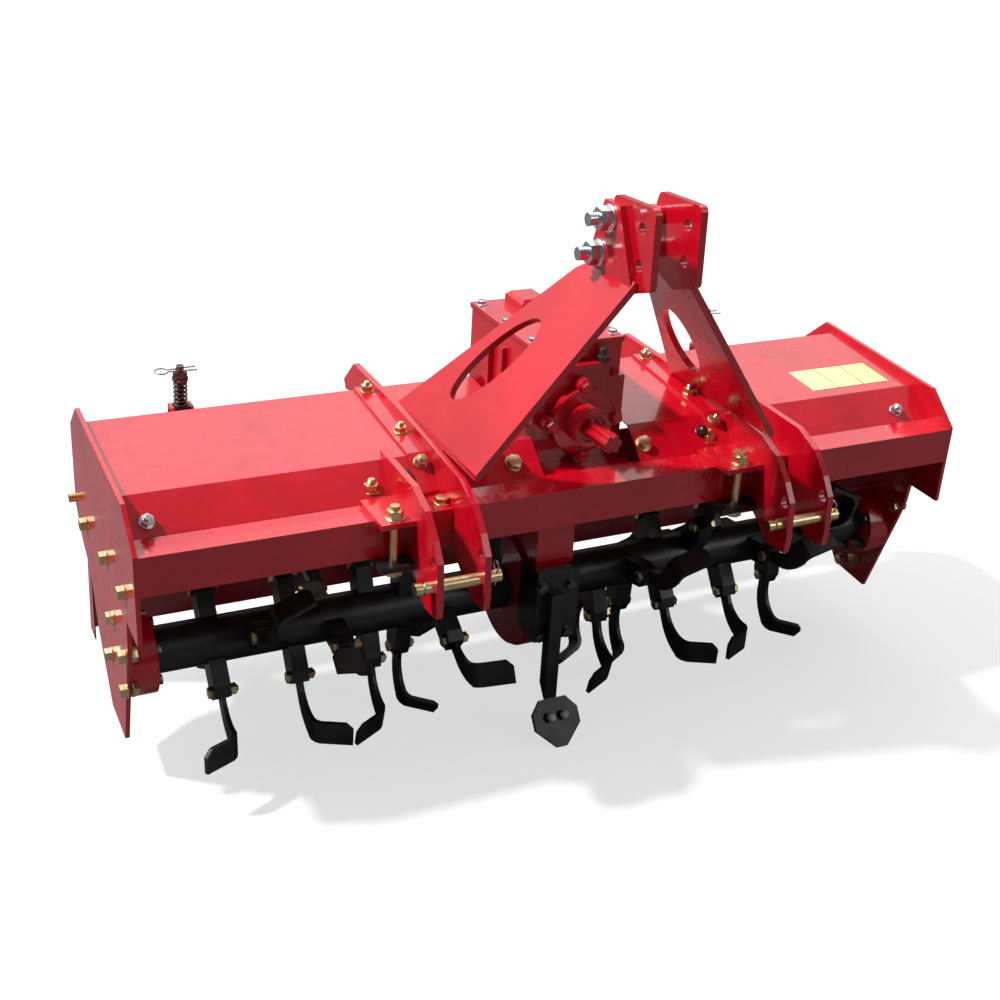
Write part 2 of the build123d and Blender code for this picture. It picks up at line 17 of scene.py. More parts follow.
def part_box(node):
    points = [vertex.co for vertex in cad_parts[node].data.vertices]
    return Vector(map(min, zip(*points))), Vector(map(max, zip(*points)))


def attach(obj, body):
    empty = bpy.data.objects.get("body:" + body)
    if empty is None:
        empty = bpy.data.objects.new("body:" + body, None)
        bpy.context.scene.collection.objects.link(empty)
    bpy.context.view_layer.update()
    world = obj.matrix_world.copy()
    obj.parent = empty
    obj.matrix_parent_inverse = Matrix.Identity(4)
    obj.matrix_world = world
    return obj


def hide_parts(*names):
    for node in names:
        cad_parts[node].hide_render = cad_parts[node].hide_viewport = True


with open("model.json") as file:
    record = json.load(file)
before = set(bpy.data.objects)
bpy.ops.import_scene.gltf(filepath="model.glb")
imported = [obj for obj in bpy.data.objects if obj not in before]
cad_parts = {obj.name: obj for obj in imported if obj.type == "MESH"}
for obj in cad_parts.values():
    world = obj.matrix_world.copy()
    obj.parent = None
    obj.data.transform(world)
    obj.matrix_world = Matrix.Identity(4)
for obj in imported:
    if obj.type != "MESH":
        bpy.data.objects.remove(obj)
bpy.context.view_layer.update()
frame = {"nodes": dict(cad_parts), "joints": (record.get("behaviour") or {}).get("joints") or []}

random.seed(7)

# %% [markdown]
# ## Places
# The model is in metres, while a maker's sizes read best in millimetres.  Each place could be typed in
# metres from the model's own zero, but the rotor's axis is what a maker measures from.  So all places
# are given from the point on the ground under that axis, and one function turns them into metres.

# %% Millimetres from the point under the rotor's axis
mm = 0.001
hinges = {joint["name"]: Vector(joint["pos_m"]) for joint in frame["joints"]}
rotor_y = hinges["rotor_spin"].y
axis_z = hinges["rotor_spin"].z / mm
ALONG_X, ALONG_Y, ALONG_Z = Vector((1, 0, 0)), Vector((0, 1, 0)), Vector((0, 0, 1))
TO_LEFT, TO_RIGHT, TO_HITCH, UP = -ALONG_X, ALONG_X, -ALONG_Y, ALONG_Z
SIDES = ("left", "right")


def at(x, y, z):
    """Blender's place of a point given in millimetres."""
    return Vector((x * mm, y * mm + rotor_y, z * mm))


def reach(node, axis):
    """Lowest and highest place of a node along an axis (0 is x), in millimetres."""
    low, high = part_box(node)
    shift = rotor_y if axis == 1 else 0
    return (low[axis] - shift) / mm, (high[axis] - shift) / mm


def middle(node, axis):
    """Place halfway along a node, in millimetres."""
    return sum(reach(node, axis)) / 2


print("rotor axis", round(axis_z), "mm above the ground")

# %% [markdown]
# ## Sums between patterns
# A paint's roughness may be a plain number plus a cloudy pattern.  Each such sum is a Math node, and a
# finish needs many.  They could be placed by hand in the shader editor, but a sum in words is easier
# to read, so a small class lets Python's own signs add the nodes.

# %% A number in a shader, with Python's signs
class Value:
    """A number that changes over the surface; plus, minus and times add Math nodes."""

    def __init__(self, finish, socket):
        self.finish = finish
        self.socket = socket

    def maths(self, operation, *terms):
        """Adds one Math node that takes these terms."""
        return self.finish.node("ShaderNodeMath", {"operation": operation},
                                dict(enumerate(terms)))

    def __add__(self, other):
        return self.maths("ADD", self, other)

    def __sub__(self, other):
        return self.maths("SUBTRACT", self, other)

    def __rsub__(self, other):
        return self.maths("SUBTRACT", other, self)

    def __mul__(self, other):
        return self.maths("MULTIPLY", self, other)

    __radd__ = __add__
    __rmul__ = __mul__


print("plus, minus and times make nodes")

# %% [markdown]
# ## A finish
# A finish is a material: a Principled shader whose colour, roughness and tiny bumps change over the
# surface.  A picture wrapped round each piece could do that too, but it needs an unwrapped mesh.
# Noise read from Object coordinates needs none, and it sticks to the piece when the piece moves.

# %% One shader and the patterns that feed it
ROUNDING_SAMPLES = 4


class Finish:
    """A material whose shader gets its plain numbers first and its patterns afterwards."""

    def __init__(self, name, **numbers):
        self.material = bpy.data.materials.new(name)
        self.material.use_nodes = True
        self.tree = self.material.node_tree
        self.shader = self.tree.nodes["Principled BSDF"]
        for socket, number in numbers.items():
            self.shader.inputs[socket.replace("_", " ")].default_value = number
        self.place = self.node("ShaderNodeTexCoord", {}, {}, out="Object")

    def node(self, kind, settings, sockets, out=0):
        """Adds a node: its settings first, then the values or links of its sockets."""
        made = self.tree.nodes.new(kind)
        for name, setting in settings.items():
            setattr(made, name, setting)
        for name, value in sockets.items():
            if isinstance(value, Value):
                self.tree.links.new(value.socket, made.inputs[name])
            else:
                made.inputs[name].default_value = value
        return Value(self, made.outputs[out])

    def noise(self, scale, detail=4.0, stretch=(1, 1, 1)):
        """Cloudy pattern between 0 and 1; scale is in patches per metre."""
        placed = self.node("ShaderNodeMapping", {}, {"Vector": self.place, "Scale": stretch})
        return self.node("ShaderNodeTexNoise", {},
                         {"Vector": placed, "Scale": scale, "Detail": detail}, out="Fac")

    def between(self, pattern, low, high):
        """1 where the pattern is over high, 0 under low, and a ramp between."""
        return self.node("ShaderNodeMapRange", {"clamp": True},
                         {"Value": pattern, "From Min": low, "From Max": high})

    def blend(self, share, first, second):
        """Colour that goes from the first to the second with share."""
        return self.node("ShaderNodeMix", {"data_type": "RGBA"},
                         {"Factor": share, 6: first, 7: second}, out=2)

    def feed(self, **patterns):
        """Links patterns to the shader's sockets."""
        for socket, value in patterns.items():
            self.tree.links.new(value.socket, self.shader.inputs[socket.replace("_", " ")])

    def relief(self, height, depth, rounding):
        """Bumps of that depth in metres; rounding, in metres, softens the look of sharp edges."""
        rounded = self.node("ShaderNodeBevel", {"samples": ROUNDING_SAMPLES}, {"Radius": rounding})
        self.feed(Normal=self.node("ShaderNodeBump", {}, {"Height": height, "Distance": depth,
                                                          "Strength": 1.0, "Normal": rounded}))


print("finishes can be mixed")

# %% [markdown]
# ## Red paint
# The sheets and castings are sprayed with a thick gloss red that mirrors the sky.  One shiny layer
# would look like plastic, so a clear coat lies over a deep red base and gives a double shine.  Slow
# waves in the coat make reflections run a little, dust dulls some patches, and castings get a coarser
# skin than sheet.

# %% Sheet and casting red
DEEP_RED = (0.60, 0.002, 0.016, 1)
SHADE_RED = (0.42, 0.001, 0.009, 1)
DUSTY_RED = (0.52, 0.02, 0.03, 1)
PATCHES, DUST_SPOTS, COAT_WAVES = 6.0, 38.0, 14.0
DUST_STRENGTH, WAVE_STRENGTH = 0.35, 2.0


def red_paint(name, skin_scale, skin_depth, rounding):
    """Gloss red over sheet or casting; the skin says how rough the metal under it is."""
    paint = Finish(name, Coat_Roughness=0.06, IOR=1.5, Specular_IOR_Level=0.5)
    patches = paint.noise(PATCHES)
    dust = paint.between(paint.noise(DUST_SPOTS, detail=8.0), 0.55, 0.85)
    tone = paint.blend(paint.between(patches, 0.35, 0.75), DEEP_RED, SHADE_RED)
    paint.feed(Base_Color=paint.blend(dust * DUST_STRENGTH, tone, DUSTY_RED),
               Roughness=0.20 + dust * 0.22 + patches * 0.06,
               Coat_Weight=0.75 - dust * DUST_STRENGTH)
    skin = paint.noise(skin_scale, detail=3.0)
    waves = paint.noise(COAT_WAVES, detail=2.0)
    paint.relief(skin + waves * WAVE_STRENGTH, skin_depth, rounding)
    return paint.material


red_sheet = red_paint("red_sheet_paint", skin_scale=260.0, skin_depth=0.00010, rounding=0.0016)
red_casting = red_paint("red_casting_paint", skin_scale=420.0, skin_depth=0.00045, rounding=0.004)
print("two red paints")

# %% [markdown]
# ## Black paint
# Rotor, tines and point are dipped in black paint.  Pure black would hide every edge, so the paint
# clouds between two dark greys.  It is thinner than the red, and the forged steel's skin shows
# through it.

# %% Black paint on forged steel
COAL, GRAPHITE = (0.006, 0.007, 0.008, 1), (0.018, 0.020, 0.023, 1)
BLACK_CLOUDS, BLACK_GRAIN, CLOUD_RELIEF = 22.0, 300.0, 3.0


def black_paint():
    """Thin satin black over a forged skin."""
    paint = Finish("black_paint", Coat_Roughness=0.22, IOR=1.5)
    cloud = paint.noise(BLACK_CLOUDS, detail=6.0)
    grain = paint.noise(BLACK_GRAIN)
    paint.feed(Base_Color=paint.blend(paint.between(cloud, 0.4, 0.7), COAL, GRAPHITE),
               Roughness=0.30 + cloud * 0.25,
               Coat_Weight=0.25 - cloud * 0.2)
    paint.relief(grain + cloud * CLOUD_RELIEF, depth=0.0003, rounding=0.0015)
    return paint.material


black = black_paint()
print("black paint")

# %% [markdown]
# ## Plated and bare steel
# Nuts, washers and hitch pins carry a yellow passivated zinc coat, which shows gold with paler clouds.
# The long bolts at the top are plain bright zinc.  Springs and rods are dark oiled steel.  Four
# separate materials could be written out, but they differ in two colours and a roughness only, so one
# function makes them all.

# %% Metals
METAL_CLOUDS, BRUSHING, BRUSH_STRETCH = 45.0, 900.0, (1, 1, 0.3)


def metal(name, first, second, rough):
    """Metal that clouds between two colours, with fine brushed bumps."""
    steel = Finish(name, Metallic=1.0)
    cloud = steel.noise(METAL_CLOUDS, detail=5.0)
    fine = steel.noise(BRUSHING, detail=2.0, stretch=BRUSH_STRETCH)
    steel.feed(Base_Color=steel.blend(steel.between(cloud, 0.35, 0.65), first, second),
               Roughness=rough + cloud * 0.18)
    steel.relief(fine, depth=0.00005, rounding=0.0006)
    return steel.material


yellow_zinc = metal("yellow_zinc", (0.72, 0.52, 0.24, 1), (0.78, 0.66, 0.42, 1), rough=0.22)
bright_zinc = metal("bright_zinc", (0.62, 0.70, 0.74, 1), (0.74, 0.78, 0.78, 1), rough=0.18)
dark_steel = metal("dark_steel", (0.10, 0.09, 0.085, 1), (0.17, 0.16, 0.15, 1), rough=0.30)
wire_steel = metal("wire_steel", (0.40, 0.39, 0.37, 1), (0.55, 0.53, 0.50, 1), rough=0.25)
print("four metals")

# %% [markdown]
# ## The model's own pieces
# Each piece of the engineering model gets one finish.  They could be picked one by one, but the
# model's names say what a piece is, and a rule by name goes on working when a piece is added.  What
# no rule names is red sheet.

# %% Put the finishes on
CASTINGS = ("gearbox", "input_cap", "input_shaft", "drive_case", "case_cover", "bearing_housing")
FINISH_OF = ((("rotor_tube", "tines", "shovel", "beam_clamp_bottom", "rod_swivel"), black),
             (("lower_pin", "beam_clamp_bolt", "board_eye_pins", "board_hinge_pins"), yellow_zinc),
             (("mast_bolts",), bright_zinc),
             (("spring_rod", "rod_spring"), dark_steel),
             (("gearbox_bed",), red_sheet),
             (CASTINGS, red_casting))
for name, piece in frame["nodes"].items():
    fitting = [finish for starts, finish in FINISH_OF if name.startswith(starts)]
    piece.data.materials.clear()
    piece.data.materials.append(fitting[0] if fitting else red_sheet)
print("finishes on", len(frame["nodes"]), "nodes")

# %% [markdown]
# ## Shapes for small parts
# Bolts, nuts, rings and springs are drawn in millimetres, standing on the origin with Z up.  A round
# part could be a stack of cylinders, but a profile spun round Z gives its chamfers too.  Each shape is
# made once, kept, and stamped on a bench wherever it is needed, so a row of bolts is one mesh.

# %% A lathe, a prism and a bar
MERGE_WITHIN = 0.001
EDGE_STEPS = 2


def lathe(profile, steps=24):
    """Turns (radius, height) points round Z into a closed shape."""
    shape = bmesh.new()
    line = [shape.verts.new((radius, 0, height)) for radius, height in profile]
    for low, high in zip(line, line[1:]):
        shape.edges.new((low, high))
    bmesh.ops.spin(shape, geom=shape.verts[:] + shape.edges[:], cent=(0, 0, 0), axis=(0, 0, 1),
                   angle=math.tau, steps=steps, use_merge=True)
    bmesh.ops.remove_doubles(shape, verts=shape.verts, dist=MERGE_WITHIN)
    bmesh.ops.recalc_face_normals(shape, faces=shape.faces)
    return shape


def round_edges(shape, edges, width):
    """Rounds some edges of a shape."""
    bmesh.ops.bevel(shape, geom=edges, offset=width, segments=EDGE_STEPS, profile=0.5,
                    affect="EDGES", material=-1)


def hexagon(radius, height, edge):
    """Upright hexagon whose top edges are rounded."""
    shape = bmesh.new()
    bmesh.ops.create_cone(shape, cap_ends=True, segments=6, radius1=radius, radius2=radius,
                          depth=height)
    bmesh.ops.translate(shape, verts=shape.verts, vec=(0, 0, height / 2))
    top = [e for e in shape.edges if all(v.co.z > height - MERGE_WITHIN for v in e.verts)]
    round_edges(shape, top, edge)
    return shape


def bar(width, depth, height, edge):
    """Box standing on the origin, with rounded edges."""
    shape = bmesh.new()
    bmesh.ops.create_cube(shape, size=1)
    bmesh.ops.scale(shape, verts=shape.verts, vec=(width, depth, height))
    bmesh.ops.translate(shape, verts=shape.verts, vec=(0, 0, height / 2))
    round_edges(shape, shape.edges[:], edge)
    return shape


print("lathe, hexagon and bar are ready")

# %% A bench that stamps shapes into one piece
SMOOTH_UNDER = math.radians(35)


class Bench:
    """Stamps shapes into one mesh and makes it a piece that rides on a body."""

    def __init__(self):
        self.mesh = bmesh.new()

    def stamp(self, shape, place, along=ALONG_Z, turn=0.0, lift=0.0):
        """Puts a copy at a place in millimetres, with its Z along a direction and lifted along it."""
        aim = Vector(along).to_track_quat("Z", "Y").to_matrix().to_4x4()
        matrix = (Matrix.Translation(at(*place)) @ aim @ Matrix.Rotation(turn, 4, "Z")
                  @ Matrix.Scale(mm, 4) @ Matrix.Translation((0, 0, lift)))
        kept = bpy.data.meshes.new("stamp")
        shape.to_mesh(kept)
        start = len(self.mesh.verts)
        self.mesh.from_mesh(kept)
        self.mesh.verts.ensure_lookup_table()
        bmesh.ops.transform(self.mesh, matrix=matrix, verts=self.mesh.verts[start:])
        bpy.data.meshes.remove(kept)

    def piece(self, name, finish, slot, body="frame"):
        """Ends the bench's work: one object with its finish and body. The slot argument is not used."""
        mesh = bpy.data.meshes.new(name)
        self.mesh.to_mesh(mesh)
        self.mesh.free()
        mesh.shade_smooth()
        mesh.set_sharp_from_angle(angle=SMOOTH_UNDER)
        mesh.materials.append(finish)
        made = bpy.data.objects.new(name, mesh)
        bpy.context.scene.collection.objects.link(made)
        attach(made, body)
        mesh.calc_loop_triangles()
        print(name, len(mesh.loop_triangles), "triangles")
        return made


print("bench ready")

# %% [markdown]
# ## Fasteners
# A nut is about 0.85 of its thread's width high and 1.6 across its flats; a washer is 2.1 wide.  All of
# a fastener's sizes follow from its thread, so one number makes it.  A true helix would cost many
# faces, while stacked rings look the same at this size.

# %% Nuts, bolt heads, washers and threads
FLATS, NUT_HIGH, HEAD_HIGH, WASHER_WIDE, WASHER_HIGH = 1.6, 0.85, 0.65, 2.1, 0.18
WASHER_EDGE, NUT_EDGE = 0.04, 0.06
THREAD_PITCH, THREAD_DEPTH, THREAD_STEPS = 0.14, 0.06, 20
stock = {}


def washer(size):
    """Flat ring with a chamfered rim; its hole is hidden, so it is closed."""
    radius, high, edge = size * WASHER_WIDE / 2, size * WASHER_HIGH, size * WASHER_EDGE
    return lathe([(0, 0), (radius, 0), (radius, high - edge), (radius - edge, high), (0, high)])


def thread(size, length):
    """Threaded end, chamfered at the top."""
    pitch, depth = size * THREAD_PITCH, size * THREAD_DEPTH
    profile = [(0, 0)]
    for i in range(max(1, int((length - pitch) / pitch))):
        profile += [(size / 2, i * pitch), (size / 2 - depth, (i + 0.5) * pitch)]
    profile += [(size / 2, length - pitch), (size / 2 - 2 * depth, length), (0, length)]
    return lathe(profile, THREAD_STEPS)


def from_stock(kind, size, length=0):
    """Each kind and size is made once."""
    key = (kind, size, length)
    if key not in stock:
        corner = size * FLATS / math.sqrt(3)
        stock[key] = {"washer": lambda: washer(size),
                      "nut": lambda: hexagon(corner, size * NUT_HIGH, size * NUT_EDGE),
                      "head": lambda: hexagon(corner, size * HEAD_HIGH, size * NUT_EDGE),
                      "thread": lambda: thread(size, length)}[kind]()
    return stock[key]


def any_turn():
    """A nut or head ends up turned by chance; a hexagon repeats after a sixth of a turn."""
    return random.uniform(0, math.pi / 3)


def bolt_head(bench, place, along, size, with_washer=True):
    """Hexagon head, on its washer or straight on the plate."""
    turn = any_turn()
    lift = 0
    if with_washer:
        bench.stamp(from_stock("washer", size), place, along)
        lift = size * WASHER_HIGH
    bench.stamp(from_stock("head", size), place, along, turn, lift)


def nut_and_thread(bench, place, along, size, stand):
    """Washer and nut with the bolt's end standing out of the nut."""
    lift = size * WASHER_HIGH
    bench.stamp(from_stock("washer", size), place, along)
    bench.stamp(from_stock("nut", size), place, along, any_turn(), lift)
    lift += size * NUT_HIGH
    bench.stamp(from_stock("thread", size, stand), place, along, lift=lift)


print("fasteners ready")

# %% [markdown]
# ## Bolts of the end plates
# The end plates are bolted from inside, so their nuts show outside.  Nothing on the plates says where
# the bolts go, so their places are listed, as y and z, for each side.  How far out a nut sits comes
# from the plate itself.

# %% End plates
END_BOLT, END_TURN, END_LIFT = 13, 0.2, 2
END_BOLTS = {"left": ((204, 393), (31, 412), (-106, 418), (7, 309), (43, 216), (-79, 282),
                      (-75, 213)),
             "right": ((14, 132), (56, 106), (-54, 506), (204, 393), (31, 412), (-79, 300))}
for side, outward, outside in (("left", TO_LEFT, 0), ("right", TO_RIGHT, 1)):
    faces = reach(f"end_plate_{side}", 0)
    bench = Bench()
    for y, z in END_BOLTS[side]:
        outer, inner = (faces[outside], y, z), (faces[1 - outside], y, z)
        bench.stamp(from_stock("washer", END_BOLT), outer, outward)
        bench.stamp(from_stock("nut", END_BOLT), outer, outward, END_TURN, END_LIFT)
        bolt_head(bench, inner, -outward, END_BOLT)
    bench.piece(f"end_plate_bolts_{side}", yellow_zinc, "yellow_zinc")

# %% [markdown]
# ## The sloping front of the hood
# The hood's front slopes from the beam up to the deck, and bolts stand square to it.  A ray could find
# the sheet, but the hood is two flat faces, so three points on it give a bolt's height and direction
# from its x and y alone.

# %% Bolts on the slope
HOOD_LINE = [Vector((0, -125, 518)), Vector((0, -64, 568)), Vector((0, 199, 590))]
SLOPE_NUT, SLOPE_STAND, SLOPE_NUT_X, SLOPE_NUT_Y = 12, 6, (-766, 727), -104
SLOPE_HEAD, SLOPE_HEAD_X, SLOPE_HEAD_Y = 15, (-120, 146), -98


def on_hood(x, y, above=0):
    """Place on the hood's outside and the direction straight out of it."""
    low, high = HOOD_LINE[:2] if y < HOOD_LINE[1].y else HOOD_LINE[1:]
    run = (high - low).normalized()
    out = Vector((0, -run.z, run.y))
    place = low + (high - low) * ((y - low.y) / (high.y - low.y)) + out * above
    return (x, place.y, place.z), out


bench = Bench()
for x in SLOPE_NUT_X:
    nut_and_thread(bench, *on_hood(x, SLOPE_NUT_Y), SLOPE_NUT, SLOPE_STAND)
bench.piece("slope_bolts", bright_zinc, "silver_zinc")
bench = Bench()
for x in SLOPE_HEAD_X:
    bolt_head(bench, *on_hood(x, SLOPE_HEAD_Y), SLOPE_HEAD)
bench.piece("slope_heads", yellow_zinc, "yellow_zinc")

# %% [markdown]
# ## Bolts of the hitch plates
# Each pair of hitch plates stands on the beam and on a strip of the deck.  Upright bolts between the
# plates hold the strip, one more holds the beam, and a dark one stands beside them.  They are placed
# from the strip's middle, so they follow it when the hitch is made wider.

# %% Between the hitch plates
STRIP_HIGH, STRIP_NUT, STRIP_STAND, STRIP_NUT_Y = 5, 12, 7, (180, 12, -78)
BEAM_HEAD, BEAM_HEAD_SIDE, BEAM_HEAD_Y = 14, 8, -160
DARK_NUT, DARK_STAND, DARK_SIDE, DARK_Y = 11, 5, -34, -92
beam_top = reach("front_beam", 2)[1]
bench, dark_bench = Bench(), Bench()
for side in SIDES:
    x = middle(f"deck_strip_{side}", 0)
    for y in STRIP_NUT_Y:
        nut_and_thread(bench, *on_hood(x, y, STRIP_HIGH), STRIP_NUT, STRIP_STAND)
    bolt_head(bench, (x + BEAM_HEAD_SIDE, BEAM_HEAD_Y, beam_top), UP, BEAM_HEAD)
    nut_and_thread(dark_bench, *on_hood(x + DARK_SIDE, DARK_Y), DARK_NUT, DARK_STAND)
bench.piece("hitch_plate_bolts", yellow_zinc, "yellow_zinc")
dark_bench.piece("hood_bolts_dark", dark_steel, "dark_steel")

# %% [markdown]
# ## Beam clamps
# A clamp is two plates, over and under the beam, drawn together by one long bolt that the model has
# already.  Its nuts are put on the plates' own faces.  A second, smaller nut holds the clamp's back,
# with its thread standing out.

# %% Nuts of the beam clamps
CLAMP_NUT, CLAMP_TURN, CLAMP_LIFT, LOW_TURN = 16, 0.3, 3, 0.2
REAR_NUT, REAR_NUT_Y, REAR_STAND, REAR_LIFT = 15, -100, 9, 15
bench = Bench()
for side in SIDES:
    bolt_x, bolt_y = middle(f"beam_clamp_bolt_{side}", 0), middle(f"beam_clamp_bolt_{side}", 1)
    plate_top = reach(f"beam_clamp_top_{side}", 2)[1]
    plate_low = reach(f"beam_clamp_bottom_{side}", 2)[0]
    for y, size in ((bolt_y, CLAMP_NUT), (REAR_NUT_Y, REAR_NUT)):
        bench.stamp(from_stock("washer", size), (bolt_x, y, plate_top))
        bench.stamp(from_stock("nut", size), (bolt_x, y, plate_top), UP, CLAMP_TURN, CLAMP_LIFT)
    bench.stamp(from_stock("thread", REAR_NUT, REAR_STAND), (bolt_x, REAR_NUT_Y, plate_top),
                lift=REAR_LIFT)
    bench.stamp(from_stock("nut", CLAMP_NUT), (bolt_x, bolt_y, plate_low), -UP, LOW_TURN)
bench.piece("beam_clamp_nuts", yellow_zinc, "yellow_zinc")

# %% [markdown]
# ## Mast bolts
# Two long bolts tie the ears and the mast together.  Their nuts sit on the left, where the bolts' ends
# stand well out, and their heads on the right.  The shanks are the model's own, so only nuts, heads
# and washers are added.

# %% Nuts and heads of the mast
MAST_BOLT, MAST_WASHER, NUT_TURN, HEAD_TURN = 22, 4, 0.35, 0.2
MAST_BOLTS = ((-173, 937), (-198, 1000))
MAST_PLATE = 12
nut_face = reach("mast_plate_left", 0)[1] - MAST_PLATE
head_face = reach("mast_plate_right", 0)[0] + MAST_PLATE
bench = Bench()
for y, z in MAST_BOLTS:
    for kind, x, outward, turn in (("nut", nut_face, TO_LEFT, NUT_TURN),
                                   ("head", head_face, TO_RIGHT, HEAD_TURN)):
        bench.stamp(from_stock("washer", MAST_BOLT), (x, y, z), outward)
        bench.stamp(from_stock(kind, MAST_BOLT), (x, y, z), outward, turn, MAST_WASHER)
bench.piece("mast_nuts", bright_zinc, "silver_zinc")

# %% [markdown]
# ## Gearbox fasteners
# Six hexagon bolts hold the lid, three along each side.  A breather, which lets warm air out of the
# oil, sits on the casting's ledge; it is a nut with a cap turned on the lathe.

# %% Lid bolts and breather
LID_BOLT, LID_TOP, LID_EDGE, LID_SHARES = 10, 728, 14, (0.08, 0.5, 0.92)
BREATHER_AT, BREATHER_NUT, BREATHER_LIFT = (78, -40, 690), 13, 11
BREATHER_CAP = [(0, 0), (8, 0), (8, 9), (5, 14), (0, 14)]
(lid_x0, lid_x1), (lid_y0, lid_y1) = reach("gearbox_cover", 0), reach("gearbox_cover", 1)
bench = Bench()
for x in (lid_x0 + LID_EDGE, lid_x1 - LID_EDGE):
    for share in LID_SHARES:
        bolt_head(bench, (x, lid_y0 + share * (lid_y1 - lid_y0), LID_TOP), UP, LID_BOLT)
bench.piece("lid_bolts", bright_zinc, "silver_zinc")
bench = Bench()
bench.stamp(from_stock("nut", BREATHER_NUT), BREATHER_AT)
bench.stamp(lathe(BREATHER_CAP), BREATHER_AT, lift=BREATHER_LIFT)
bench.piece("breather", dark_steel, "dark_steel")

# %% [markdown]
# ## Bolts of the input cap
# The cap round the input shaft has four ears with a bolt each, sprayed over with the same red.  A
# collar lies round the shaft.  The bolts stand at quarter turns, so an angle places them.

# %% Ears and collar of the cap
CAP_X, CAP_Z, CAP_FACE, EAR_RADIUS, EARS, EAR_BOLT = 33, 588, -68, 66, 4, 12
COLLAR, COLLAR_SUNK = [(26, 0), (33, 0), (35, 2), (35, 5), (26, 5)], 1
bench = Bench()
for ear in range(EARS):
    turn = ear * math.tau / EARS
    place = (CAP_X + EAR_RADIUS * math.cos(turn), CAP_FACE, CAP_Z + EAR_RADIUS * math.sin(turn))
    bolt_head(bench, place, TO_HITCH, EAR_BOLT)
bench.stamp(lathe(COLLAR), (CAP_X, reach("input_cap", 1)[0] + COLLAR_SUNK, CAP_Z), TO_HITCH)
bench.piece("cap_bolts", red_casting, "red_paint")

# %% [markdown]
# ## Bolts of the front point
# Four bolts hold the bracket on the drive case and two hold the point on its shank.  The point leans
# back, so its bolts stand square to its face rather than straight forward.

# %% Bracket and point
BRACKET_BOLT, BRACKET_BOLTS = 11, ((-67, 303), (-10, 299), (-67, 200), (-10, 200))
POINT_BOLT_X, POINT_BOLT_Y, POINT_BOLT_Z, POINT_TURN = (-59, -31), -196, 52, 0.4
POINT_FACING = (0, -0.8, 0.6)
bracket_front = reach("shovel_bracket", 1)[0]
bench = Bench()
for x, z in BRACKET_BOLTS:
    bolt_head(bench, (x, bracket_front, z), TO_HITCH, BRACKET_BOLT)
bench.piece("bracket_bolts", dark_steel, "dark_steel")
bench = Bench()
for x in POINT_BOLT_X:
    bench.stamp(from_stock("head", BRACKET_BOLT), (x, POINT_BOLT_Y, POINT_BOLT_Z), POINT_FACING,
                POINT_TURN)
bench.piece("point_bolts", dark_steel, "dark_steel")

# %% [markdown]
# ## Bent wire
# Springs and clips are round wire.  A curve with a round bevel would do, but it has to be made a mesh
# before it can ride on a body.  A row of circles along the wire's middle line, joined by bridges and
# closed at both ends, is a mesh from the start.

# %% Wire
WIRE_SIDES = 8


def wire(line, radius):
    """Round wire along points given in millimetres, closed at its ends."""
    shape = bmesh.new()
    rings = []
    last = len(line) - 1
    for i, here in enumerate(line):
        ahead = line[min(i + 1, last)] - line[max(i - 1, 0)]
        aim = ahead.to_track_quat("Z", "X").to_matrix().to_4x4()
        made = bmesh.ops.create_circle(shape, segments=WIRE_SIDES, radius=radius,
                                       matrix=Matrix.Translation(here) @ aim)
        ring = sorted({e for v in made["verts"] for e in v.link_edges}, key=lambda e: e.index)
        rings.append(ring)
    for first, second in zip(rings, rings[1:]):
        bmesh.ops.bridge_loops(shape, edges=first + second)
    for ring in (rings[0], rings[-1]):
        bmesh.ops.contextual_create(shape, geom=ring)
    bmesh.ops.recalc_face_normals(shape, faces=shape.faces)
    return shape


print("wire can be bent")

# %% [markdown]
# ## Springs of the levelling board
# A compression spring round each rod pushes the board down.  The model has a plain sleeve there, which
# stands in for the coil.  The wire turns round the rod while it climbs, and its end turns lie almost
# flat, as a ground spring's do.  The spring takes the sleeve's place on the swivel, and a nut on the
# rod's end holds it down.

# %% Coils and rod nuts
GUIDE, EYE = Vector((0, 322, 538)), Vector((0, 347, 252))
SPRING_FOOT, SPRING_TOP = 12, 64
SPRING_RADIUS, SPRING_WIRE, SPRING_TURNS = 11.2, 2.2, 7
COIL_STEPS, FLAT_TURN = 16, 0.7
ROD_NUT, ROD_NUT_TURN, NUT_GAP = 14, 0.2, 4.4


def coil(radius, wire_radius, turns, height):
    """Compression spring whose end turns lie almost flat."""
    line = []
    for i in range(turns * COIL_STEPS + 1):
        share = i / (turns * COIL_STEPS)
        climbed = (share * turns - FLAT_TURN) / (turns - 2 * FLAT_TURN)
        climbed = min(1.0, max(0.0, climbed))
        angle = math.tau * share * turns
        line.append(Vector((radius * math.cos(angle), radius * math.sin(angle),
                            wire_radius + climbed * (height - 2 * wire_radius))))
    return wire(line, wire_radius)


rod_up = (GUIDE - EYE).normalized()
spring_shape = coil(SPRING_RADIUS, SPRING_WIRE, SPRING_TURNS, SPRING_TOP - SPRING_FOOT)
for side in SIDES:
    swivel_at = (middle(f"spring_rod_{side}", 0), GUIDE.y, GUIDE.z)
    bench = Bench()
    bench.stamp(spring_shape, swivel_at, rod_up, lift=SPRING_FOOT)
    spring = bench.piece(f"rod_spring_wire_{side}", dark_steel, "dark_steel", f"{side}_swivel")
    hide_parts(f"rod_spring_{side}")
    bench = Bench()
    bench.stamp(from_stock("nut", ROD_NUT), swivel_at, rod_up, ROD_NUT_TURN, SPRING_TOP + NUT_GAP)
    bench.piece(f"rod_nut_{side}", dark_steel, "dark_steel", f"{side}_rod")

# %% [markdown]
# ## Clips
# A clip of springy wire keeps each hitch pin and each rod's end in place: a round loop that runs out
# into two straight legs, one on each side of the pin.  Both kinds are the same line in two sizes.

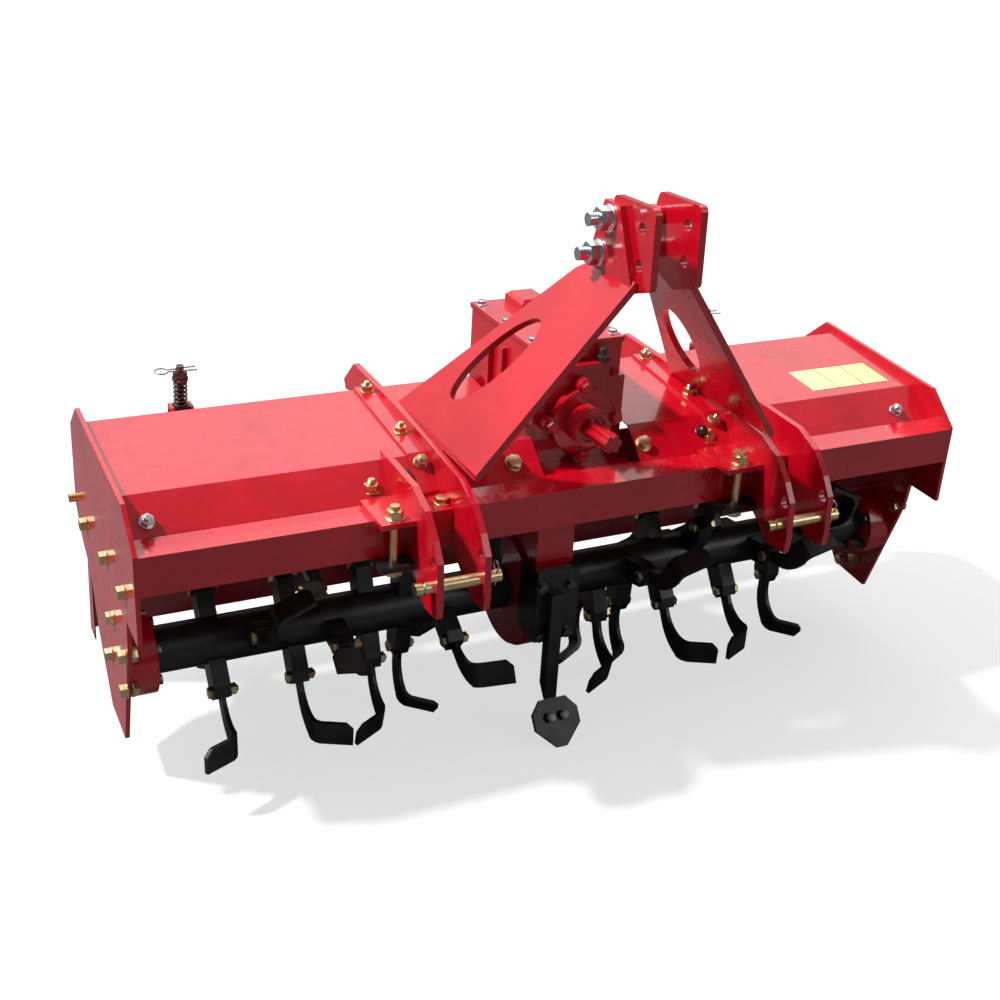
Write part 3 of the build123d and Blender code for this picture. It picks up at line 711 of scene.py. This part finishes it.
# %% Pin clips and rod clips
LOOP_POINTS, LOOP_OPEN = 15, 20
PIN_CLIP_IN, PIN_CLIP_UP, PIN_CLIP_TURN = 8, 18, math.radians(-84)
ROD_CLIP_BACK, ROD_CLIP_LIFT = 34, 84


def clip(loop, leg, gap, wire_radius):
    """A round loop that runs out into two legs along X, a gap on each side of its middle."""
    line = [Vector((loop + leg, gap, 0))]
    for i in range(LOOP_POINTS):
        angle = math.radians(LOOP_OPEN + i * (360 - 2 * LOOP_OPEN) / (LOOP_POINTS - 1))
        line.append(Vector((loop * math.cos(angle), loop * math.sin(angle), 0)))
    line.append(Vector((loop + leg, -gap, 0)))
    return wire(line, wire_radius)


pin_clip = clip(loop=9, leg=26, gap=3.4, wire_radius=1.7)
rod_clip = clip(loop=12, leg=52, gap=7.6, wire_radius=1.6)
bench = Bench()
for side in SIDES:
    pin = f"lower_pin_{side}"
    place = (reach(pin, 0)[1] - PIN_CLIP_IN, middle(pin, 1), middle(pin, 2) + PIN_CLIP_UP)
    bench.stamp(pin_clip, place, TO_RIGHT, PIN_CLIP_TURN)
bench.piece("pin_clips", wire_steel, "silver_zinc")
for side in SIDES:
    bench = Bench()
    place = (middle(f"spring_rod_{side}", 0) - ROD_CLIP_BACK, GUIDE.y, GUIDE.z)
    bench.stamp(rod_clip, place, rod_up, lift=ROD_CLIP_LIFT)
    bench.piece(f"rod_clip_{side}", wire_steel, "silver_zinc", f"{side}_rod")

# %% [markdown]
# ## Tine bolts
# A bolt goes across each holder on the rotor and through its tine: head on one side, nut on the other.
# Holders come in stations along the tube, two to a station, each turned round the tube by its own
# angle from straight down.  The bolts ride on the rotor, so they turn with it.

# %% Bolts through the tine holders
STATION_PITCH, FIRST_STATION = 72, {"left": -645, "right": 120}
HOLDER_HALF, HOLDER_RADIUS, TINE_BOLT, TINE_STAND = 15, 92, 12, 4
STATION_ANGLES = {"left": ((38, 218), (115, 295), (32, 212), (85, 265), (20, 200), (-5.8, 175),
                           (60, 240), (140, 300)),
                  "right": ((-21.8, 20), (101, -5.8), (32, 212), (150, 280), (35, 215), (98, 278),
                            (-1.8, 179), (125, 245))}
bench = Bench()
for side, stations in STATION_ANGLES.items():
    for i, pair in enumerate(stations):
        x = FIRST_STATION[side] + i * STATION_PITCH
        for degrees in pair:
            angle = math.radians(degrees)
            y, z = -HOLDER_RADIUS * math.sin(angle), axis_z - HOLDER_RADIUS * math.cos(angle)
            bolt_head(bench, (x - HOLDER_HALF, y, z), TO_LEFT, TINE_BOLT, with_washer=False)
            nut_and_thread(bench, (x + HOLDER_HALF, y, z), TO_RIGHT, TINE_BOLT, TINE_STAND)
bench.piece("tine_bolts", yellow_zinc, "yellow_zinc", "rotor")

# %% [markdown]
# ## Bearing housings
# A ring of dark bolts holds the housing of the rotor's bearing on each end.  They go on the housing's
# inner face, at equal steps round the rotor's axis.

# %% Bolts of the bearings
BEARING_BOLT, BEARING_BOLTS, BEARING_CIRCLE = 10, 6, 58
bench = Bench()
for side, inward, inside in (("left", TO_RIGHT, 1), ("right", TO_LEFT, 0)):
    face = reach(f"bearing_housing_{side}", 0)[inside]
    for i in range(BEARING_BOLTS):
        angle = math.tau * (i + 0.5) / BEARING_BOLTS
        y, z = BEARING_CIRCLE * math.cos(angle), axis_z + BEARING_CIRCLE * math.sin(angle)
        bolt_head(bench, (face, y, z), inward, BEARING_BOLT)
bench.piece("bearing_bolts", dark_steel, "dark_steel")

# %% [markdown]
# ## Blank plate
# A pale yellow plate lies on the right of the deck, divided in three by two thin dark lines.  It carries
# no words or signs.  The lines could be a pattern in the plate's finish, but thin bars stay sharp and
# are simpler to move.

# %% Yellow plate
PLATE_X, PLATE_Y, PLATE_HIGH, PLATE_EDGE = (572, 758), (-36, 50), 0.8, 0.2
LINE_WIDE, LINE_PROUD, LINE_EDGE, LINE_SHARES = 1.6, 0.4, 0.1, (-1 / 6, 1 / 6)


def flat_finish(name, colour, second):
    """Plain satin print that clouds a little between two colours."""
    paint = Finish(name, Coat_Roughness=0.2)
    cloud = paint.noise(30.0)
    paint.feed(Base_Color=paint.blend(cloud, colour, second), Roughness=0.35 + cloud * 0.15)
    return paint.material


plate_yellow = flat_finish("plate_yellow", (0.86, 0.80, 0.30, 1), (0.80, 0.76, 0.36, 1))
plate_dark = flat_finish("plate_dark", (0.03, 0.03, 0.03, 1), (0.05, 0.05, 0.05, 1))
place, out = on_hood(sum(PLATE_X) / 2, sum(PLATE_Y) / 2)
length, width = PLATE_X[1] - PLATE_X[0], PLATE_Y[1] - PLATE_Y[0]
bench = Bench()
bench.stamp(bar(length, width, PLATE_HIGH, PLATE_EDGE), place, out)
bench.piece("yellow_plate", plate_yellow, "yellow_zinc")
line = bar(LINE_WIDE, width, PLATE_HIGH + LINE_PROUD, LINE_EDGE)
bench = Bench()
for share in LINE_SHARES:
    bench.stamp(line, (place[0] + share * length, *place[1:]), out)
bench.piece("yellow_plate_lines", plate_dark, "dark_steel")

# %% [markdown]
# ## Camera
# The camera stands in front of the hitch, to the left and above.  It could be aimed with a constraint,
# but three plain angles say more: how far it is turned round the machine, how far it looks down, and a
# slight lean of the camera itself.

# %% Camera
CAMERA_AT, CAMERA_LENS, SENSOR_WIDE = (-1192, -2164, 1588.5), 52.18, 36
CAMERA_TURN, CAMERA_DOWN, CAMERA_LEAN = -26.957, 25.714, 3.419
camera_data = bpy.data.cameras.new("camera")
camera_data.lens = CAMERA_LENS
camera_data.sensor_width = SENSOR_WIDE
camera = bpy.data.objects.new("camera", camera_data)
bpy.context.scene.collection.objects.link(camera)
bpy.context.scene.camera = camera
camera.location = at(*CAMERA_AT)
turn = (Matrix.Rotation(math.radians(CAMERA_TURN), 3, "Z")
        @ Matrix.Rotation(math.radians(90 - CAMERA_DOWN), 3, "X")
        @ Matrix.Rotation(math.radians(CAMERA_LEAN), 3, "Z"))
camera.rotation_euler = turn.to_euler()
bpy.context.scene.view_settings.view_transform = "Standard"
print("camera", round(camera_data.lens, 1), "mm")

# %% [markdown]
# ## Floor
# The camera sees a white floor with a faint shadow, while the machine itself sees a grey one, so its
# underside stays dark.  A white floor lit by stronger lamps would wash out the red, so the white is
# mixed in for the camera's rays only: part of it glows, and part is plain white board that takes the
# shadow.

# %% A floor for the camera and for the machine
FLOOR_GREY, FLOOR_SPECKLE, BOARD_WHITE, SHADE_SHARE = 0.12, 1.1, 0.95, 0.35
FLOOR_SIZE, FLOOR_BELOW = 60, 0.0008


def grey(level):
    """A colour from black at 0 to white at 1."""
    return (level, level, level, 1)


def floor_material():
    """Grey for the machine, white with a faint shadow for the camera."""
    pale = Finish("pale_floor", Specular_IOR_Level=0.0)
    speckle = pale.noise(3.0, detail=2.0)
    to_camera = pale.node("ShaderNodeLightPath", {}, {}, out="Is Camera Ray")
    ground_grey = pale.blend(speckle, grey(FLOOR_GREY), grey(FLOOR_GREY * FLOOR_SPECKLE))
    pale.feed(Base_Color=pale.blend(to_camera, ground_grey, grey(BOARD_WHITE)),
              Roughness=0.8 + speckle * 0.1)
    board = Value(pale, pale.shader.outputs["BSDF"])
    glow = pale.node("ShaderNodeEmission", {}, {})
    mixed = pale.node("ShaderNodeMixShader", {},
                      {"Fac": to_camera * (1 - SHADE_SHARE), 1: board, 2: glow})
    pale.tree.links.new(mixed.socket, pale.tree.nodes["Material Output"].inputs["Surface"])
    return pale.material


floor_mesh = bpy.data.meshes.new("floor")
ground = bmesh.new()
bmesh.ops.create_grid(ground, x_segments=1, y_segments=1, size=FLOOR_SIZE)
bmesh.ops.translate(ground, verts=ground.verts, vec=(0, 0, -FLOOR_BELOW))
ground.to_mesh(floor_mesh)
ground.free()
floor_mesh.materials.append(floor_material())
floor = bpy.data.objects.new("floor", floor_mesh)
bpy.context.scene.collection.objects.link(floor)
print("floor", 2 * FLOOR_SIZE, "m wide")

# %% [markdown]
# ## Sky
# The gloss shows whatever stands round the machine.  An even sky would lay the same grey veil on every
# face.  This one is bright overhead and behind, and dim at the horizon and in front, so the deck
# shines and the faces that look forward stay deep.  The camera sees it as plain white.

# %% Sky that brightens upwards and backwards
SKY_LOW, SKY_HIGH, SKY_FRONT, SKY_BEHIND = 0.02, 1.7, 0.10, 1.0
DIM_UNDER, BRIGHT_OVER, FRONT_TO, BEHIND_FROM = 0.05, 0.7, -0.30, 0.45
world = bpy.data.worlds.new("studio")
bpy.context.scene.world = world
world.use_nodes = True
sky = world.node_tree


def sky_ramp(low, high, dim, bright):
    """Node that goes from dim to bright while its input goes from low to high."""
    ramp = sky.nodes.new("ShaderNodeMapRange")
    for name, number in (("From Min", low), ("From Max", high), ("To Min", dim), ("To Max", bright)):
        ramp.inputs[name].default_value = number
    return ramp


def sky_maths(operation, first, second):
    """Math node that takes two sockets."""
    made = sky.nodes.new("ShaderNodeMath")
    made.operation = operation
    sky.links.new(first, made.inputs[0])
    sky.links.new(second, made.inputs[1])
    return made.outputs[0]


rays = sky.nodes.new("ShaderNodeLightPath")
direction = sky.nodes.new("ShaderNodeTexCoord")
parts_of = sky.nodes.new("ShaderNodeSeparateXYZ")
upwards = sky_ramp(DIM_UNDER, BRIGHT_OVER, SKY_LOW, SKY_HIGH)
backwards = sky_ramp(FRONT_TO, BEHIND_FROM, SKY_FRONT, SKY_BEHIND)
sky.links.new(direction.outputs["Generated"], parts_of.inputs["Vector"])
sky.links.new(parts_of.outputs["Z"], upwards.inputs["Value"])
sky.links.new(parts_of.outputs["Y"], backwards.inputs["Value"])
lit = sky_maths("MULTIPLY", upwards.outputs["Result"], backwards.outputs["Result"])
seen = sky_maths("MAXIMUM", lit, rays.outputs["Is Camera Ray"])
background = sky.nodes["Background"]
background.inputs["Color"].default_value = grey(1)
sky.links.new(seen, background.inputs["Strength"])
print("sky from", SKY_LOW, "to", SKY_HIGH)

# %% [markdown]
# ## Lamps
# One sun from the left and a little behind gives clear light and shade.  A weak, wide one from the
# front right keeps the forward faces readable.  Area lamps would do too, but a sun lights the whole
# width of the machine alike.

# %% Two suns
def sun(name, strength, angle, from_side, from_above):
    """Lamp that shines from a side (0 is the hitch's side, 90 the right) and a height in degrees."""
    lamp = bpy.data.lights.new(name, "SUN")
    lamp.energy = strength
    lamp.angle = math.radians(angle)
    holder = bpy.data.objects.new(name, lamp)
    side, above = math.radians(from_side), math.radians(from_above)
    ray = Vector((math.sin(side) * math.cos(above), -math.cos(side) * math.cos(above),
                  math.sin(above)))
    holder.rotation_euler = ray.to_track_quat("Z", "Y").to_euler()
    bpy.context.scene.collection.objects.link(holder)


sun("main_lamp", strength=4.2, angle=4, from_side=-108, from_above=52)
sun("side_lamp", strength=0.45, angle=30, from_side=40, from_above=25)
print("two lamps")
